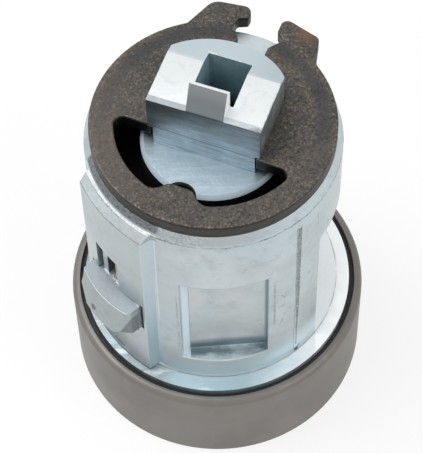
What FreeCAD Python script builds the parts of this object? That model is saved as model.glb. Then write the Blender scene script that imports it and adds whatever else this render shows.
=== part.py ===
import FreeCAD, Part
import math
import os
from FreeCAD import Vector

# An ignition lock cylinder, standing on its key face. +Z runs from the key face to the drive end,
# the plug turns about Z, and -Y is the side with the shallow pocket. Sizes are in millimetres.

# Fits
RUN = 0.05                # radial play of what turns
SLIDE = 0.1               # play of what slides
SEAT = 0.02               # play of what is pushed together and stays

# Barrel
BARREL_R = 16.05
BARREL_LENGTH = 34.5
FOOT_STEP = 0.25          # foot of the barrel beyond the barrel
FLANGE_WIDTH = 2.01       # flange beyond the barrel
FLANGE_PROUD = 0.3        # edge of the flange above the trim ring
FLANGE_RISE = 0.6         # slope of the flange up to the foot of the barrel
END_CHAMFER_WIDTH = 0.75
END_CHAMFER_HEIGHT = 1.3
CAVITY_WALL = 2.6         # wall round the rear cavity at the end of the chamfer
CAVITY_DEPTH = 9.2
COUNTERBORE_DEPTH = 1.65

# Trim ring round the key face, and its dark liner
TRIM_HEIGHT = 14.3
TRIM_WALL = 1.05
TRIM_FACE = 1.4
TRIM_PLAY = 0.4           # round the cap of the plug
TRIM_FRONT_ROUND = 0.35
TRIM_REAR_LAND = 0.1      # flat left on the upper edge beside its round
LINER_WALL = 0.7
LINER_DROP = 0.7          # the liner stays this far below the ring's edge

# Boss that carries the latch
PAD_INSET = 0.82          # face of the boss inside the edge of the flange
PAD_CURVE = 21.0          # radius of its gently curved face
PAD_HALF = 5.8
PAD_FLARE = 0.6           # each side runs out this much towards the barrel
PAD_TOP_DROP = 1.1
PAD_BEVEL_HEIGHT = 1.1
PAD_BEVEL_SINK = 0.1      # the bevel ends this far inside the barrel's surface

# Shallow pocket in the front of the barrel
POCKET_AZ = -87.0
POCKET_DEPTH = 2.15
POCKET_HALF = 5.75
POCKET_LEFT_SLOPE = 1.3
POCKET_RIGHT_SLOPE = 0.35
POCKET_LIFT = 4.1
POCKET_HEIGHT = 19.1

# Flat that relieves the side of the barrel below its collar
RELIEF_AZ = 0.0
RELIEF_DEPTH = 3.15
COLLAR_HEIGHT = 10.8

# Parting ribs of the casting
RIB_AZ = -50.8
RIB_WIDTH = 0.7
RIB_PROUD = 0.06

# Latch
LATCH_AZ = -142.0
LATCH_PROUD = 2.1         # beyond the edge of the flange
LATCH_LEFT = -4.15
LATCH_RIGHT = 5.05
LATCH_LIFT = 10.7
LATCH_HEIGHT = 5.6
LATCH_DEPTH = 5.16
LATCH_TRAVEL = 2.1
LATCH_CURVE = 13.4        # radius of its face
LATCH_LEAN = 1.0          # upper edge of the face behind its lower edge
LATCH_LAND = 1.0          # upright strip at the foot of the face
LATCH_TOP_FALL = 0.4
LATCH_END_CHAMFER = 1.3
LATCH_END_GAP = 0.45
STEM_HALF = 3.4
STEM_INSET = 0.8
STEM_LENGTH = 2.7
WINDOW_LEFT = -2.8
WINDOW_RIGHT = 1.6
WINDOW_HEIGHT = 6.4
FINGER_LEFT = -2.2
FINGER_RIGHT = -1.2
FINGER_HEIGHT = 5.9
FINGER_THICKNESS = 1.5

# Leaf spring of the latch
LEAF_THICKNESS = 0.25
LEAF_LEFT = -0.1
LEAF_RIGHT = 1.3
LEAF_SET_IN = 0.9         # behind the face of the boss
LEAF_ARM_HEIGHT = 1.1

# Plug
PLUG_R = 9.1
PLUG_FLANGE_WIDTH = 0.9
DISC_DROP = 1.2           # rear end of the plug below the end of the barrel
DISC_CHAMFER = 0.5
KEYWAY_HALF = 4.8
KEYWAY_WIDTH = 2.6

# Drive head on the rear end of the plug
HEAD_TURN = -21.5
HEAD_FRONT = 3.4          # front face from the axis
HEAD_HALF = 7.3
NECK_GROOVE = 0.7         # depth of the groove in each flat of the head
HEAD_RISE = 5.7           # top of the head above the retaining plate
HEAD_SLOPE_START = 4.1
HEAD_SLOPE = 16.0
SOCKET_HALF = 2.8
SOCKET_SIDE = 0.2         # socket and tooth beside the middle of the head
SOCKET_FRONT = -0.95
SOCKET_LENGTH = 6.85
SOCKET_DEPTH = 11.0
TOOTH_HALF = 2.4
TOOTH_HEIGHT = 3.8
TOOTH_LAND = 0.9
TOOTH_LAND_DROP = 0.8
TOOTH_LEAN = 1.55
NOTCH_AZ = -117.0
NOTCH_R = 2.1
NOTCH_OUTSIDE = 0.6       # centre of the notch beyond the plug's surface

# Retaining plate
PLATE_TURN = -23.6
PLATE_THICKNESS = 2.1
PLATE_OVERHANG = 0.5      # edge of the plate's opening inside the cavity
PLATE_SHOULDER = 3.3      # front edge of the shoulders from the axis
PLATE_PLAY = 0.3          # between the plate and the neck, so that the plate sits a little turned
PLATE_CORNER = 1.1
THROAT_HALF = 2.05
HORN_SPAN = 4.5           # the horns meet the ring this far from the middle
HORN_REACH = 2.7          # horns beyond the plate's edge
TAB_GAP = 1.05            # between the tab and the round of the plug
TAB_TIP_HALF = 1.5
TAB_ROOT_ROUND = 0.8      # of the tab's height
TAB_TIP_ROUND = 0.6       # of the tab's height

# Key face cap, shutter and its pin
CAP_THICKNESS = 0.6
CAP_SET_BACK = 0.3        # cap behind the face of the trim ring
SLOT_PLAY = 0.2
SHUTTER_THICKNESS = 0.7
SHUTTER_LAP = 0.6         # beyond each end of the key slot
SHUTTER_REACH = 6.0
SHUTTER_KNUCKLE_R = 1.1
HINGE_OFFSET = 3.4
HINGE_PIN_R = 0.6
HINGE_PIN_SHORT = 0.5     # each end of the pin inside the plug's surface
HINGE_SPRING_ROOM = 2.1
HINGE_WIRE_R = 0.15
HINGE_SPRING_TURNS = 4

# Wafers
WAFER_COUNT = 8
WAFER_THICKNESS = 1.0
WAFER_PITCH = 3.2
WAFER_HALF = 3.3
WAFER_THROW = 0.9
WAFER_SHORT = 0.1         # each end inside the plug's surface when the key has set it
WAFER_WINDOW_PLAY = 0.2
WAFER_EAR = 2.3
WAFER_EAR_HALF = 0.7
FIRST_WAFER_LIFT = 10.2   # above the front of the plug
WAFER_SPRING_R = 0.7
WAFER_SPRING_LENGTH = 4.4
WAFER_WIRE_R = 0.13
WAFER_SPRING_TURNS = 5

# Heights and radii that follow from the sizes above
HOUSING_FRONT = TRIM_FACE
FOOT_R = BARREL_R + FOOT_STEP
FLANGE_R = BARREL_R + FLANGE_WIDTH
LINER_IN_R = FLANGE_R + SEAT
LINER_OUT_R = LINER_IN_R + LINER_WALL
TRIM_R = LINER_OUT_R + SEAT + TRIM_WALL
PAD_FACE = FLANGE_R - PAD_INSET
POCKET_FLOOR = BARREL_R - POCKET_DEPTH
RELIEF_FLAT = BARREL_R - RELIEF_DEPTH
LATCH_R = FLANGE_R + LATCH_PROUD
LATCH_BACK = LATCH_R - LATCH_DEPTH
STEM_BACK = LATCH_BACK - STEM_LENGTH
PLATE_R = BARREL_R - END_CHAMFER_WIDTH
CAVITY_R = PLATE_R - CAVITY_WALL
PLATE_OPENING_R = CAVITY_R - PLATE_OVERHANG
HORN_R = PLATE_R + HORN_REACH
TAB_TIP = PLUG_R + TAB_GAP
PLUG_FLANGE_R = PLUG_R + PLUG_FLANGE_WIDTH
NECK_HALF = HEAD_HALF - NECK_GROOVE
NOTCH_CENTRE = PLUG_R + NOTCH_OUTSIDE
SHUTTER_HALF = KEYWAY_HALF + SHUTTER_LAP
HINGE_PIN_HALF = math.sqrt(PLUG_R ** 2 - (HINGE_OFFSET + HINGE_PIN_R) ** 2) - HINGE_PIN_SHORT
FLANGE_Z = TRIM_HEIGHT + FLANGE_PROUD
FOOT_Z = FLANGE_Z + FLANGE_RISE
BARREL_TOP = FOOT_Z + BARREL_LENGTH
BORE_R = PLUG_R + RUN
CAVITY_FLOOR = BARREL_TOP - CAVITY_DEPTH
PLUG_FRONT = CAP_SET_BACK + CAP_THICKNESS
PLUG_SHOULDER = HOUSING_FRONT + COUNTERBORE_DEPTH - RUN
DISC_TOP = BARREL_TOP - DISC_DROP
PLATE_BOTTOM = BARREL_TOP + RUN
PLATE_TOP = PLATE_BOTTOM + PLATE_THICKNESS
HEAD_BOTTOM = PLATE_TOP + SLIDE
HEAD_TOP = PLATE_TOP + HEAD_RISE
CAP_R = PLUG_FLANGE_R + CAP_THICKNESS
TRIM_OPENING_R = CAP_R + TRIM_PLAY
LATCH_Z = FOOT_Z + LATCH_LIFT
LATCH_TOP = LATCH_Z + LATCH_HEIGHT
LATCH_FLOOR = LATCH_BACK - LATCH_TRAVEL - SLIDE
STEM_FLOOR = STEM_BACK - LATCH_TRAVEL - SLIDE
WINDOW_TOP = LATCH_TOP + WINDOW_HEIGHT
HINGE_Z = PLUG_FRONT + SHUTTER_KNUCKLE_R + SLIDE
SHUTTER_ROOM_TOP = HINGE_Z + SHUTTER_REACH + 2 * SLIDE
WAFER_R = PLUG_R - WAFER_SHORT
GROOVE_R = WAFER_R + WAFER_THROW + 3 * SLIDE
WAFER_END = PLUG_FRONT + FIRST_WAFER_LIFT + (WAFER_COUNT - 1) * WAFER_PITCH + WAFER_THICKNESS
KEYWAY_END = WAFER_END + WAFER_PITCH
BEYOND = 2 * TRIM_R       # reaches outside everything


def box(x0, x1, y0, y1, z0, z1):
    """A block between two corners."""
    return Part.makeBox(x1 - x0, y1 - y0, z1 - z0, Vector(x0, y0, z0))


def rod(radius, z0, z1, x=0.0, y=0.0):
    """A round bar along Z."""
    return Part.makeCylinder(radius, z1 - z0, Vector(x, y, z0))


def rod_along_x(radius, x0, x1, y, z):
    """A round bar along X."""
    return Part.makeCylinder(radius, x1 - x0, Vector(x0, y, z), Vector(1, 0, 0))


def turned(shape, angle):
    """The shape turned about the lock's axis, in degrees."""
    copy = shape.copy()
    copy.rotate(Vector(0, 0, 0), Vector(0, 0, 1), angle)
    return copy


def revolved(profile):
    """A solid of revolution from corners given as radius and height."""
    points = [Vector(radius, 0, z) for radius, z in profile]
    face = Part.Face(Part.makePolygon(points + points[:1]))
    return face.revolve(Vector(0, 0, 0), Vector(0, 0, 1), 360)


def rounded_prism(corners, z0, z1):
    """A prism whose corners are x, y and the radius of the round there."""
    edges = []
    last = None
    first = None
    count = len(corners)
    for i in range(count):
        x, y, radius = corners[i]
        here = Vector(x, y, z0)
        before = Vector(corners[i - 1][0], corners[i - 1][1], z0)
        after = Vector(corners[(i + 1) % count][0], corners[(i + 1) % count][1], z0)
        back = (before - here).normalize()
        ahead = (after - here).normalize()
        if radius:
            half = back.getAngle(ahead) / 2
            run = radius / math.tan(half)
            start = here + back * run
            end = here + ahead * run
            middle_line = (back + ahead).normalize()
            middle = here + middle_line * (radius / math.sin(half) - radius)
            arc = Part.Arc(start, middle, end).toShape()
        else:
            start = here
            end = here
            arc = None
        if last is None:
            first = start
        else:
            edges.append(Part.LineSegment(last, start).toShape())
        if arc:
            edges.append(arc)
        last = end
    edges.append(Part.LineSegment(last, first).toShape())
    return Part.Face(Part.Wire(edges)).extrude(Vector(0, 0, z1 - z0))


def bent_wire(points, wire_r):
    """A wire with a six-sided section along straight runs."""
    along = (points[1] - points[0]).normalize()
    side = along.cross(Vector(0, 0, 1)).normalize()
    other = along.cross(side)
    ring = []
    for k in range(6):
        angle = math.radians(60 * k)
        ring.append(points[0] + (side * math.cos(angle) + other * math.sin(angle)) * wire_r)
    section = Part.makePolygon(ring + ring[:1])
    return Part.makePolygon(points).makePipeShell([section], True, False, 1)


def coil_points(radius, length, start, sweep):
    """Points of a coil along Z, eight to a turn, with angles in degrees."""
    count = math.ceil(abs(sweep) / 45)
    points = []
    for i in range(count + 1):
        angle = math.radians(start + sweep * i / count)
        points.append(Vector(radius * math.cos(angle), radius * math.sin(angle), length * i / count))
    return points


def one_solid(shape):
    """The shape without the seams that cutting and joining leave."""
    clean = shape.removeSplitter()
    return clean.Solids[0] if len(clean.Solids) == 1 else clean


def trim_ring():
    """Satin ring with a round upper edge and a face round the key."""
    shell = rod(TRIM_R, 0, TRIM_HEIGHT)
    upper = [e for e in shell.Edges
             if abs(e.BoundBox.ZMin - TRIM_HEIGHT) < 0.001 and e.BoundBox.ZLength < 0.001]
    shell = shell.makeFillet(TRIM_WALL - TRIM_REAR_LAND, upper)
    lower = [e for e in shell.Edges if abs(e.BoundBox.ZMax) < 0.001]
    shell = shell.makeFillet(TRIM_FRONT_ROUND, lower)
    shell = shell.cut(rod(TRIM_R - TRIM_WALL, TRIM_FACE, TRIM_HEIGHT + 1))
    return shell.cut(rod(TRIM_OPENING_R, -1, TRIM_HEIGHT))


def liner_ring():
    """Dark sleeve between the trim ring and the flange."""
    top = TRIM_HEIGHT - LINER_DROP
    return rod(LINER_OUT_R, TRIM_FACE, top).cut(rod(LINER_IN_R, TRIM_FACE - 1, top + 1))


def barrel_pad():
    """Boss on the side of the barrel, with a gently curved face and a bevelled upper edge."""
    low = HOUSING_FRONT
    top = BARREL_TOP - PAD_TOP_DROP
    root = PAD_HALF + PAD_FLARE
    block = rounded_prism([(CAVITY_R, -root, 0), (PAD_FACE, -PAD_HALF, 0),
                           (PAD_FACE, PAD_HALF, 0), (CAVITY_R, root, 0)], low, top)
    bevel_end = PAD_CURVE - (PAD_FACE - BARREL_R) - PAD_BEVEL_SINK
    face = revolved([(0, low), (PAD_CURVE, low), (PAD_CURVE, top - PAD_BEVEL_HEIGHT),
                     (bevel_end, top), (0, top)])
    face.translate(Vector(PAD_FACE - PAD_CURVE, 0, 0))
    return turned(block.common(face), LATCH_AZ)


def latch_room():
    """Space in the barrel for the latch, its stem and the window above it."""
    room = box(LATCH_FLOOR, BEYOND, LATCH_LEFT - SLIDE * 3, LATCH_RIGHT + LATCH_END_GAP,
               LATCH_Z - SLIDE, LATCH_TOP + SLIDE)
    stem = box(STEM_FLOOR, LATCH_FLOOR + 1, -STEM_HALF - SLIDE, STEM_HALF + SLIDE,
               LATCH_Z + STEM_INSET - SLIDE, LATCH_TOP - STEM_INSET + SLIDE)
    window = box(LATCH_FLOOR, BEYOND, WINDOW_LEFT, WINDOW_RIGHT, LATCH_TOP, WINDOW_TOP)
    return turned(room.fuse(stem).fuse(window), LATCH_AZ)


def front_pocket():
    """Shallow pocket with a flat floor, one steep side and one sloping side."""
    corners = [(POCKET_FLOOR, -POCKET_HALF + POCKET_LEFT_SLOPE, 0),
               (POCKET_FLOOR, POCKET_HALF - POCKET_RIGHT_SLOPE, 0),
               (BARREL_R, POCKET_HALF, 0),
               (BEYOND, POCKET_HALF, 0),
               (BEYOND, -POCKET_HALF, 0),
               (BARREL_R - 1, -POCKET_HALF, 0)]
    bottom = FOOT_Z + POCKET_LIFT
    return turned(rounded_prism(corners, bottom, bottom + POCKET_HEIGHT), POCKET_AZ)


def side_relief():
    """Flat below the collar on one side of the barrel."""
    half = math.sqrt(FLANGE_R ** 2 - RELIEF_FLAT ** 2)
    relief = box(RELIEF_FLAT, BEYOND, -half, half, FOOT_Z, BARREL_TOP - COLLAR_HEIGHT)
    return turned(relief, RELIEF_AZ)


def wafer_grooves():
    """Two grooves in the bore that the wafers spring out into."""
    half = WAFER_HALF + 2 * SLIDE
    low = PLUG_FRONT + FIRST_WAFER_LIFT - WAFER_THICKNESS
    slab = box(-GROOVE_R, GROOVE_R, -half, half, low, WAFER_END + WAFER_THICKNESS)
    return turned(slab.common(rod(GROOVE_R, low, KEYWAY_END)), HEAD_TURN)


def parting_rib(angle):
    """Thin rib that the casting die leaves down the barrel."""
    low = FOOT_Z
    high = BARREL_TOP - END_CHAMFER_HEIGHT - 2 * RIB_WIDTH
    rib = box(BARREL_R - 1, BARREL_R + RIB_PROUD, -RIB_WIDTH / 2, RIB_WIDTH / 2, low, high)
    return turned(rib, angle)


def housing():
    """Die-cast barrel with its flange, boss, pocket and bore."""
    profile = [(0, HOUSING_FRONT), (FLANGE_R, HOUSING_FRONT), (FLANGE_R, FLANGE_Z), (FOOT_R, FOOT_Z),
               (BARREL_R, FOOT_Z + FLANGE_RISE), (BARREL_R, BARREL_TOP - END_CHAMFER_HEIGHT),
               (BARREL_R - END_CHAMFER_WIDTH, BARREL_TOP), (0, BARREL_TOP)]
    body = revolved(profile)
    body = body.fuse(barrel_pad().common(rod(FLANGE_R, HOUSING_FRONT, BARREL_TOP)))
    body = body.fuse(parting_rib(RIB_AZ)).fuse(parting_rib(RIB_AZ + 180))
    body = body.cut(front_pocket()).cut(side_relief()).cut(latch_room())
    body = body.cut(rod(BORE_R, 0, BARREL_TOP + 1))
    body = body.cut(rod(CAP_R + 2 * RUN, 0, HOUSING_FRONT + COUNTERBORE_DEPTH))
    body = body.cut(rod(CAVITY_R, CAVITY_FLOOR, BARREL_TOP + 1))
    return one_solid(body.cut(wafer_grooves()))


def latch():
    """Sprung bar with a curved, leaning face, a guiding stem and a finger for its spring."""
    middle = (LATCH_LEFT + LATCH_RIGHT) / 2
    half = (LATCH_RIGHT - LATCH_LEFT) / 2
    face = revolved([(0, LATCH_Z), (LATCH_CURVE, LATCH_Z), (LATCH_CURVE, LATCH_Z + LATCH_LAND),
                     (LATCH_CURVE - LATCH_LEAN, LATCH_TOP - LATCH_TOP_FALL),
                     (LATCH_CURVE - LATCH_R + PAD_FACE, LATCH_TOP), (0, LATCH_TOP)])
    face.translate(Vector(LATCH_R - LATCH_CURVE, middle, 0))
    end = LATCH_R - LATCH_CURVE + math.sqrt(LATCH_CURVE ** 2 - half ** 2)
    corner = end - LATCH_END_CHAMFER
    bar = rounded_prism([(LATCH_BACK, LATCH_LEFT, 0), (corner, LATCH_LEFT, 0), (corner + half, middle, 0),
                         (corner, LATCH_RIGHT, 0), (LATCH_BACK, LATCH_RIGHT, 0)], LATCH_Z, LATCH_TOP)
    bar = bar.common(face)
    stem = box(STEM_BACK, LATCH_BACK + 1, -STEM_HALF, STEM_HALF, LATCH_Z + STEM_INSET, LATCH_TOP - STEM_INSET)
    finger_back = LATCH_BACK + SLIDE
    finger = box(finger_back, finger_back + FINGER_THICKNESS, FINGER_LEFT, FINGER_RIGHT,
                 LATCH_TOP - 1, LATCH_TOP + FINGER_HEIGHT)
    return turned(one_solid(bar.fuse(stem).fuse(finger)), LATCH_AZ)


def latch_spring():
    """Bent strip that hangs in the window and bears on the latch's finger."""
    front = PAD_FACE - LEAF_SET_IN
    foot = LATCH_TOP + 3 * SLIDE
    top = WINDOW_TOP - SLIDE
    strip = box(front - LEAF_THICKNESS, front, LEAF_LEFT, LEAF_RIGHT, foot, top)
    hook = box(LATCH_FLOOR, front, LEAF_LEFT, LEAF_RIGHT, top - LEAF_THICKNESS, top)
    arm_front = LATCH_BACK + SLIDE
    arm_low = foot + LEAF_ARM_HEIGHT
    arm = box(arm_front - LEAF_THICKNESS, arm_front, FINGER_LEFT, LEAF_RIGHT,
              arm_low, arm_low + LEAF_ARM_HEIGHT)
    joggle = box(arm_front - LEAF_THICKNESS, front, LEAF_LEFT, LEAF_LEFT + LEAF_THICKNESS,
                 arm_low, arm_low + LEAF_ARM_HEIGHT)
    return turned(one_solid(strip.fuse(hook).fuse(arm).fuse(joggle)), LATCH_AZ)


def drive_head():
    """Neck, head, tooth and socket above the plug's rear end, before turning to their place."""
    neck = rod(PLUG_R, DISC_TOP - 1, HEAD_BOTTOM + 1)
    neck = neck.common(box(-NECK_HALF, NECK_HALF, -HEAD_FRONT, BEYOND, DISC_TOP - 1, HEAD_BOTTOM + 1))
    head = rod(PLUG_R, HEAD_BOTTOM, HEAD_TOP)
    head = head.common(box(-HEAD_HALF, HEAD_HALF, -HEAD_FRONT, BEYOND, HEAD_BOTTOM, HEAD_TOP))
    slope = box(-BEYOND, BEYOND, 0, BEYOND, 0, BEYOND)
    slope.rotate(Vector(0, 0, 0), Vector(1, 0, 0), -HEAD_SLOPE)
    slope.translate(Vector(0, HEAD_SLOPE_START, HEAD_TOP))
    head = head.cut(slope)
    side = [(-HEAD_FRONT, HEAD_TOP - 1), (-HEAD_FRONT, HEAD_TOP),
            (-HEAD_FRONT + TOOTH_LEAN, HEAD_TOP + TOOTH_HEIGHT),
            (-HEAD_FRONT + TOOTH_LEAN + TOOTH_LAND, HEAD_TOP + TOOTH_HEIGHT - TOOTH_LAND_DROP),
            (SOCKET_FRONT, HEAD_TOP - 1)]
    points = [Vector(SOCKET_SIDE - TOOTH_HALF, y, z) for y, z in side]
    tooth = Part.Face(Part.makePolygon(points + points[:1])).extrude(Vector(2 * TOOTH_HALF, 0, 0))
    socket = box(SOCKET_SIDE - SOCKET_HALF, SOCKET_SIDE + SOCKET_HALF,
                 SOCKET_FRONT, SOCKET_FRONT + SOCKET_LENGTH, HEAD_TOP - SOCKET_DEPTH, HEAD_TOP + 1)
    return neck.fuse(head).fuse(tooth), socket


def wafer_side(number):
    """Wafers spring out to alternate sides of the plug."""
    return -1 if number % 2 else 1


def wafer_bottom(number):
    """Height of a wafer's lower face; wafers are numbered from 1 at the key face."""
    return PLUG_FRONT + FIRST_WAFER_LIFT + (number - 1) * WAFER_PITCH


def spring_line():
    """Distance of a wafer spring's line from the plug's middle plane."""
    return WAFER_HALF + WAFER_EAR - WAFER_SPRING_R - SLIDE


def wafer_room(number):
    """Slot for a wafer, with the room for its ear and its spring."""
    side = wafer_side(number)
    low = wafer_bottom(number) - RUN
    high = low + WAFER_THICKNESS + 2 * RUN
    slot = box(-BEYOND, BEYOND, -WAFER_HALF - RUN, WAFER_HALF + RUN, low, high)
    ends = sorted([-side * (WAFER_EAR_HALF + SLIDE), side * (WAFER_EAR_HALF + WAFER_THROW + SLIDE)])
    ear = box(ends[0], ends[1], 0, WAFER_HALF + WAFER_EAR + SLIDE, low, high)
    run = sorted([0, -side * (WAFER_EAR_HALF + WAFER_SPRING_LENGTH + SLIDE)])
    bore = rod_along_x(WAFER_SPRING_R + SLIDE, run[0], run[1], spring_line(), (low + high) / 2)
    return slot.fuse(ear).fuse(bore)


def wafer(number):
    """Tumbler with a window for the key and an ear for its spring."""
    low = wafer_bottom(number)
    high = low + WAFER_THICKNESS
    plate = rod(WAFER_R, low, high).common(box(-BEYOND, BEYOND, -WAFER_HALF, WAFER_HALF, low, high))
    ear = box(-WAFER_EAR_HALF, WAFER_EAR_HALF, 0, WAFER_HALF + WAFER_EAR, low, high)
    half = KEYWAY_HALF + WAFER_WINDOW_PLAY
    width = KEYWAY_WIDTH / 2 + WAFER_WINDOW_PLAY
    window = box(-half, half, -width, width, low - 1, high + 1)
    return turned(one_solid(plate.fuse(ear).cut(window)), HEAD_TURN)


def wafer_spring(number):
    """Small coil that presses on the wafer's ear."""
    side = wafer_side(number)
    length = WAFER_SPRING_LENGTH - 2 * WAFER_WIRE_R
    points = coil_points(WAFER_SPRING_R - WAFER_WIRE_R, length, 0, 360 * WAFER_SPRING_TURNS)
    spring = bent_wire(points, WAFER_WIRE_R)
    spring.rotate(Vector(0, 0, 0), Vector(0, 1, 0), -side * 90)
    start = -side * (WAFER_EAR_HALF + WAFER_WIRE_R)
    spring.translate(Vector(start, spring_line(), wafer_bottom(number) + WAFER_THICKNESS / 2))
    return turned(spring, HEAD_TURN)


def shutter_room():
    """Recess behind the key slot in which the shutter swings."""
    half = SHUTTER_HALF + 2 * SLIDE
    far = HINGE_OFFSET + SHUTTER_KNUCKLE_R + SLIDE
    near = HINGE_OFFSET - SHUTTER_REACH - 2 * SLIDE
    return box(-half, half, near, far, PLUG_FRONT - 1, SHUTTER_ROOM_TOP)


def plug():
    """Turning core with its wafer slots, keyway and drive head."""
    core = rod(PLUG_R, PLUG_FRONT, DISC_TOP)
    rim = [e for e in core.Edges if abs(e.BoundBox.ZMin - DISC_TOP) < 0.001 and e.BoundBox.ZLength < 0.001]
    core = core.makeChamfer(DISC_CHAMFER, rim)
    core = core.fuse(rod(PLUG_FLANGE_R, PLUG_FRONT, PLUG_SHOULDER))
    head, socket = drive_head()
    notch = rod(NOTCH_R, CAVITY_FLOOR, DISC_TOP + 1, NOTCH_CENTRE, 0)
    core = core.cut(turned(notch, NOTCH_AZ - HEAD_TURN))
    core = core.fuse(head).cut(socket)
    core = core.cut(box(-KEYWAY_HALF, KEYWAY_HALF, -KEYWAY_WIDTH / 2, KEYWAY_WIDTH / 2, 0, KEYWAY_END))
    core = core.cut(shutter_room())
    core = core.cut(rod_along_x(HINGE_PIN_R + SEAT, -HINGE_PIN_HALF, BEYOND, HINGE_OFFSET, HINGE_Z))
    for number in range(1, WAFER_COUNT + 1):
        core = core.cut(wafer_room(number))
    return turned(one_solid(core), HEAD_TURN)


def round_upright(shape, radius, low, high):
    """The shape with a round on its upright edges between two places along Y."""
    edges = [e for e in shape.Edges
             if e.BoundBox.ZLength > PLATE_THICKNESS and e.BoundBox.XLength < 0.01
             and low < e.BoundBox.YMin and e.BoundBox.YMax < high]
    return shape.makeFillet(radius, edges)


def plate_opening(z0, z1):
    """Opening of the retaining plate in front of its shoulders, with the tab left standing in it."""
    opening = rod(PLATE_OPENING_R, z0, z1)
    opening = opening.common(box(-BEYOND, BEYOND, -BEYOND, -PLATE_SHOULDER, z0, z1))
    opening = round_upright(opening, PLATE_CORNER, -PLATE_SHOULDER - RUN, 0)
    tab_height = PLATE_OPENING_R - TAB_TIP
    foot = TAB_TIP_HALF + tab_height + 1
    tab = rounded_prism([(-foot, -PLATE_OPENING_R - 1, 0), (-TAB_TIP_HALF, -TAB_TIP, 0),
                         (TAB_TIP_HALF, -TAB_TIP, 0), (foot, -PLATE_OPENING_R - 1, 0)], z0, z1)
    opening = opening.cut(tab)
    opening = round_upright(opening, TAB_ROOT_ROUND * tab_height, -PLATE_OPENING_R, -TAB_TIP - RUN)
    return round_upright(opening, TAB_TIP_ROUND * tab_height, -TAB_TIP - RUN, -TAB_TIP + RUN)


def retaining_plate():
    """Stamped C-shaped plate that snaps on the neck, with two hooked horns and a tab."""
    z0 = PLATE_BOTTOM
    z1 = PLATE_TOP
    root = PLUG_R - 1
    left = [(-9.2, root, 0), (-9.2, PLATE_R - 4.1, 0), (-6.9, HORN_R - 0.9, 1.8), (-1.65, HORN_R - 0.1, 1.0),
            (-1.75, PLATE_R + 0.8, 0.35), (-3.0, PLATE_R + 0.2, 0.5), (-3.05, PLATE_R - 1.65, 0.6),
            (-THROAT_HALF + 0.2, PLATE_R - 2.4, 0.4), (-THROAT_HALF + 0.2, root, 0)]
    right = [(10.2, root, 0), (10.2, PLATE_R - 4.3, 0), (8.55, PLATE_R - 2.4, 0.8), (7.65, HORN_R - 1.55, 0.7),
             (2.4, HORN_R - 0.15, 0.9), (2.45, PLATE_R + 0.15, 0.35), (3.55, PLATE_R - 0.85, 0.4),
             (THROAT_HALF + 0.15, PLATE_R - 2.6, 0.8), (THROAT_HALF + 0.15, root, 0)]
    ring = rod(PLATE_R, z0, z1).cut(box(-HORN_SPAN, HORN_SPAN, 0, BEYOND, z0 - 1, z1 + 1))
    plate = ring.fuse(rounded_prism(left, z0, z1)).fuse(rounded_prism(right, z0, z1))
    inner = NECK_HALF + PLATE_PLAY
    rear = PLUG_R + PLATE_PLAY
    seat = rod(rear, z0 - 1, z1 + 1).common(box(-inner, inner, -PLATE_SHOULDER - 1, BEYOND, z0 - 1, z1 + 1))
    plate = plate.cut(plate_opening(z0 - 1, z1 + 1)).cut(seat)
    return turned(one_solid(plate), PLATE_TURN)


def face_cap():
    """Thin metal cap crimped over the front of the plug, with the key slot."""
    cap = rod(CAP_R, CAP_SET_BACK, PLUG_SHOULDER - SLIDE)
    front = [e for e in cap.Edges if abs(e.BoundBox.ZMax - CAP_SET_BACK) < 0.001]
    cap = cap.makeFillet(CAP_THICKNESS / 2, front)
    cap = cap.cut(rod(PLUG_FLANGE_R + SEAT, PLUG_FRONT, PLUG_SHOULDER + 1))
    half = KEYWAY_HALF + SLOT_PLAY
    width = KEYWAY_WIDTH / 2 + SLOT_PLAY
    slot = box(-half, half, -width, width, CAP_SET_BACK - 1, PLUG_FRONT + 1)
    return turned(cap.cut(slot), HEAD_TURN)


def shutter():
    """Flap that closes the key slot and swings inward on its pin."""
    low = HINGE_Z - SHUTTER_KNUCKLE_R
    flap = box(-SHUTTER_HALF, SHUTTER_HALF, HINGE_OFFSET - SHUTTER_REACH, HINGE_OFFSET,
               low, low + SHUTTER_THICKNESS)
    knuckle = rod_along_x(SHUTTER_KNUCKLE_R, -SHUTTER_HALF, SHUTTER_HALF, HINGE_OFFSET, HINGE_Z)
    spring_room = box(SHUTTER_HALF - HINGE_SPRING_ROOM, BEYOND, HINGE_OFFSET - SHUTTER_KNUCKLE_R - SLIDE,
                      BEYOND, low - 1, BEYOND)
    body = flap.fuse(knuckle).cut(spring_room)
    body = body.cut(rod_along_x(HINGE_PIN_R + RUN, -BEYOND, BEYOND, HINGE_OFFSET, HINGE_Z))
    return turned(one_solid(body), HEAD_TURN)


def shutter_pin():
    """Steel pin of the shutter."""
    return turned(rod_along_x(HINGE_PIN_R, -HINGE_PIN_HALF, HINGE_PIN_HALF, HINGE_OFFSET, HINGE_Z), HEAD_TURN)


def shutter_spring():
    """Torsion spring round the shutter's pin, with a leg on the flap and one on the recess wall."""
    coil_r = SHUTTER_KNUCKLE_R - HINGE_WIRE_R
    length = HINGE_SPRING_ROOM - 4 * HINGE_WIRE_R
    leg_height = SHUTTER_THICKNESS - SHUTTER_KNUCKLE_R + HINGE_WIRE_R + SEAT
    last_angle = math.degrees(math.acos(-leg_height / coil_r))
    points = coil_points(coil_r, length, 90, -(90 + last_angle) - 360 * (HINGE_SPRING_TURNS - 1))
    wall_leg = Vector(-coil_r - SHUTTER_REACH / 3, coil_r, 0)
    flap_leg = Vector(points[-1].x, -SHUTTER_REACH / 2, length)
    spring = bent_wire([wall_leg] + points + [flap_leg], HINGE_WIRE_R)
    spring.rotate(Vector(0, 0, 0), Vector(0, 1, 0), 90)
    start = SHUTTER_HALF - HINGE_SPRING_ROOM + 2 * HINGE_WIRE_R
    spring.translate(Vector(start, HINGE_OFFSET, HINGE_Z))
    return turned(spring, HEAD_TURN)


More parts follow.
